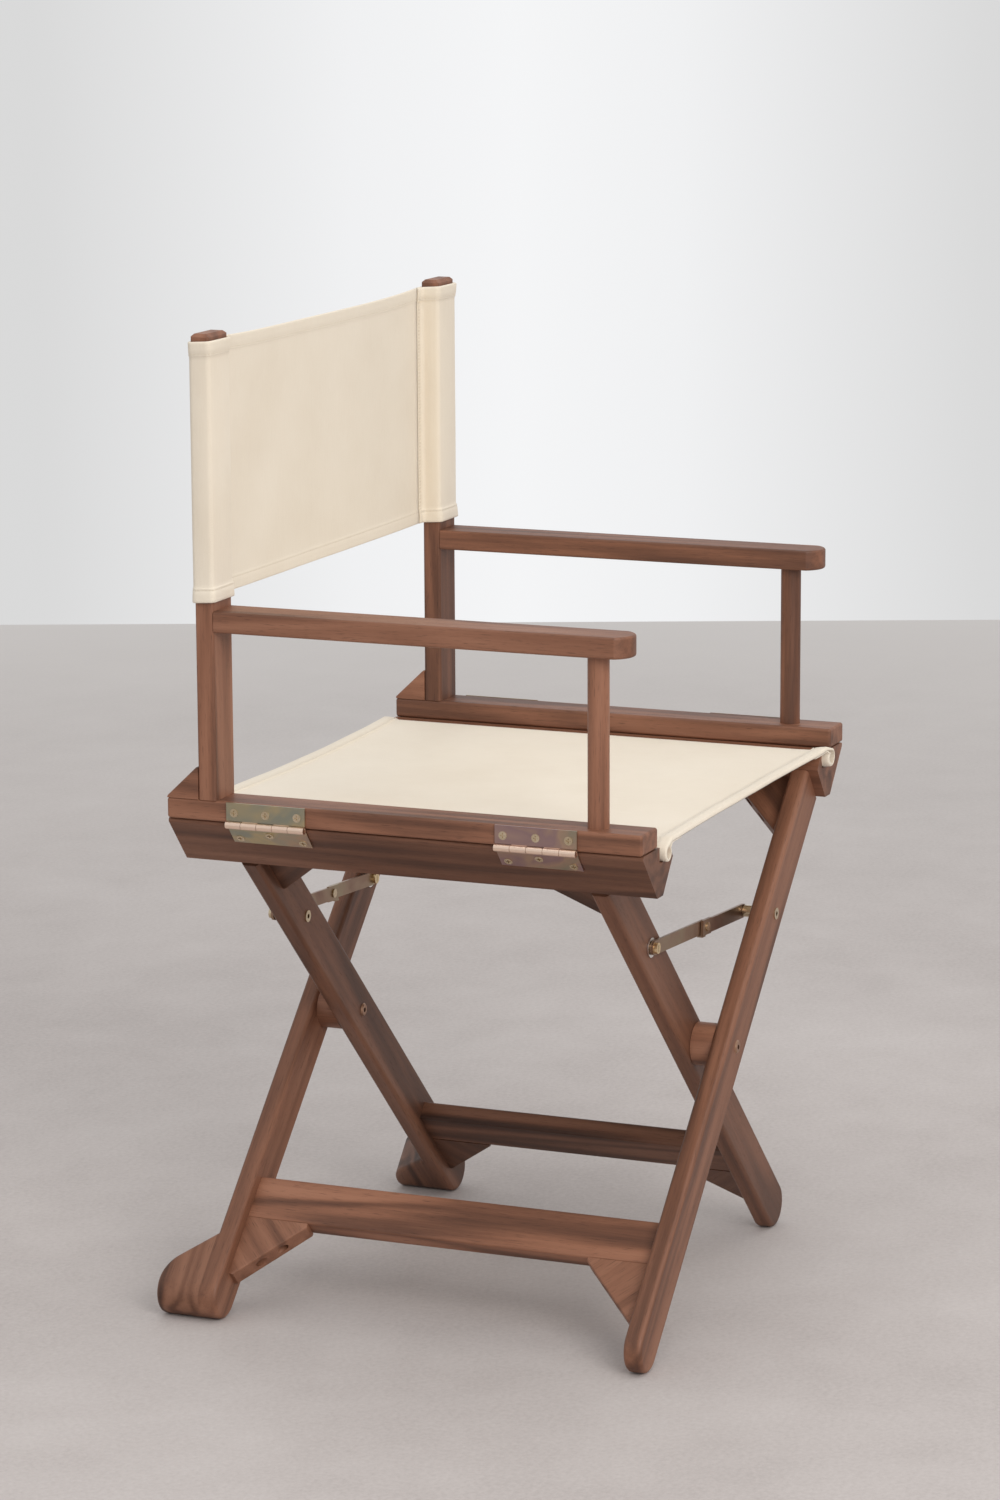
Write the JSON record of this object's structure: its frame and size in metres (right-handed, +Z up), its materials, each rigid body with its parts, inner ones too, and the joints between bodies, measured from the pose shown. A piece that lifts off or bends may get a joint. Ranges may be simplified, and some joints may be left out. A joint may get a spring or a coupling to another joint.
{
  "type": "folding armchair",
  "caption": "Folding wooden armchair with crossed legs, canvas seat and back, flat armrests and folding metal stays.",
  "frame": {"origin": "on the floor, at the middle of the overall box", "axes": "+X to the sitter's left, -Y to the front, +Z up; the arm units mirror each other across X"},
  "size_m": [0.5568, 0.4876, 0.907],
  "materials": {
    "frame_wood": "satin",
    "arm_wood": "satin",
    "canvas": "matt",
    "hinge_metal": "satin",
    "stay_metal": "satin",
    "screws": "polished"
  },
  "bodies": {
    "outer_frame": {"outer_foot_block": "frame_wood", "outer_frame_screws": "screws", "outer_hinge_leaf_front": "hinge_metal", "outer_hinge_leaf_rear": "hinge_metal", "outer_leg_front": "frame_wood", "outer_leg_rear": "frame_wood", "outer_rail_gusset_front": "frame_wood", "outer_rail_gusset_rear": "frame_wood", "outer_seat_dowel": "frame_wood", "outer_seat_rail": "frame_wood", "outer_stretcher": "frame_wood", "outer_stretcher_gusset_front": "frame_wood", "outer_stretcher_gusset_rear": "frame_wood", "pivot_bolt_front": "screws", "pivot_bolt_rear": "screws", "pivot_spacer_front": "frame_wood", "pivot_spacer_rear": "frame_wood", "seat_canvas": "canvas", "stay_bolt_front": "screws"},
    "inner_frame": {"inner_foot_block": "frame_wood", "inner_frame_screws": "screws", "inner_hinge_leaf_front": "hinge_metal", "inner_hinge_leaf_rear": "hinge_metal", "inner_leg_front": "frame_wood", "inner_leg_rear": "frame_wood", "inner_rail_gusset_front": "frame_wood", "inner_rail_gusset_rear": "frame_wood", "inner_seat_dowel": "frame_wood", "inner_seat_rail": "frame_wood", "inner_stretcher": "frame_wood", "inner_stretcher_gusset_front": "frame_wood", "inner_stretcher_gusset_rear": "frame_wood", "stay_bolt_rear": "screws"},
    "left_arm": {"back_canvas": "canvas", "left_arm_dowel": "frame_wood", "left_armrest": "arm_wood", "left_base_rail": "frame_wood", "left_hinge_leaf_front": "hinge_metal", "left_hinge_leaf_rear": "hinge_metal", "left_hinge_pins": "hinge_metal", "left_hinge_screws": "screws", "left_post": "frame_wood", "left_post_block": "frame_wood"},
    "right_arm": {"right_arm_dowel": "frame_wood", "right_armrest": "arm_wood", "right_base_rail": "frame_wood", "right_hinge_leaf_front": "hinge_metal", "right_hinge_leaf_rear": "hinge_metal", "right_hinge_pins": "hinge_metal", "right_hinge_screws": "screws", "right_post": "frame_wood", "right_post_block": "frame_wood"},
    "front_stay_bolted": {"front_stay_bar_bolted": "stay_metal", "front_stay_rivet": "screws"},
    "front_stay_free": {"front_stay_bar_free": "stay_metal", "front_stay_end_bolt": "screws"},
    "rear_stay_bolted": {"rear_stay_bar_bolted": "stay_metal", "rear_stay_rivet": "screws"},
    "rear_stay_free": {"rear_stay_bar_free": "stay_metal", "rear_stay_end_bolt": "screws"}
  },
  "joints": [
    {"name": "fold", "type": "hinge", "parent": "outer_frame", "child": "inner_frame", "pos_m": [0, -0.01475, 0.2405], "axis": [0, 1, 0], "range_deg": [0, 76], "deforming": ["seat_canvas", "back_canvas"]},
    {"name": "left_arm_hinge", "type": "hinge", "parent": "outer_frame", "child": "left_arm", "pos_m": [0.2751, -0.01475, 0.4746], "axis": [0, 1, 0], "range_deg": [0, 38]},
    {"name": "right_arm_hinge", "type": "hinge", "parent": "inner_frame", "child": "right_arm", "pos_m": [-0.2751, -0.01475, 0.4746], "axis": [0, 1, 0], "range_deg": [-38, 0]},
    {"name": "front_stay_bolt_pivot", "type": "hinge", "parent": "outer_frame", "child": "front_stay_bolted", "pos_m": [0.10575, -0.1975, 0.34261], "axis": [0, 1, 0], "range_deg": [-53, 0]},
    {"name": "front_stay_rivet_pivot", "type": "hinge", "parent": "front_stay_bolted", "child": "front_stay_free", "pos_m": [0.006, -0.19605, 0.34959], "axis": [0, 1, 0], "range_deg": [0, 159.5]},
    {"name": "rear_stay_bolt_pivot", "type": "hinge", "parent": "inner_frame", "child": "rear_stay_bolted", "pos_m": [-0.1223, 0.177, 0.35858], "axis": [0, 1, 0], "range_deg": [0, 30.6]},
    {"name": "rear_stay_rivet_pivot", "type": "hinge", "parent": "rear_stay_bolted", "child": "rear_stay_free", "pos_m": [0.006, 0.17845, 0.34959], "axis": [0, 1, 0], "range_deg": [-159.5, 0]}
  ],
  "couplings": [
    {"joint": "left_arm_hinge", "follows": "fold", "ratio": 0.5},
    {"joint": "right_arm_hinge", "follows": "fold", "ratio": -0.5},
    {"joint": "front_stay_bolt_pivot", "follows": "fold", "ratio": -0.69626},
    {"joint": "front_stay_rivet_pivot", "follows": "fold", "ratio": 2.097},
    {"joint": "rear_stay_bolt_pivot", "follows": "fold", "ratio": 0.40075},
    {"joint": "rear_stay_rivet_pivot", "follows": "fold", "ratio": -2.097}
  ]
}
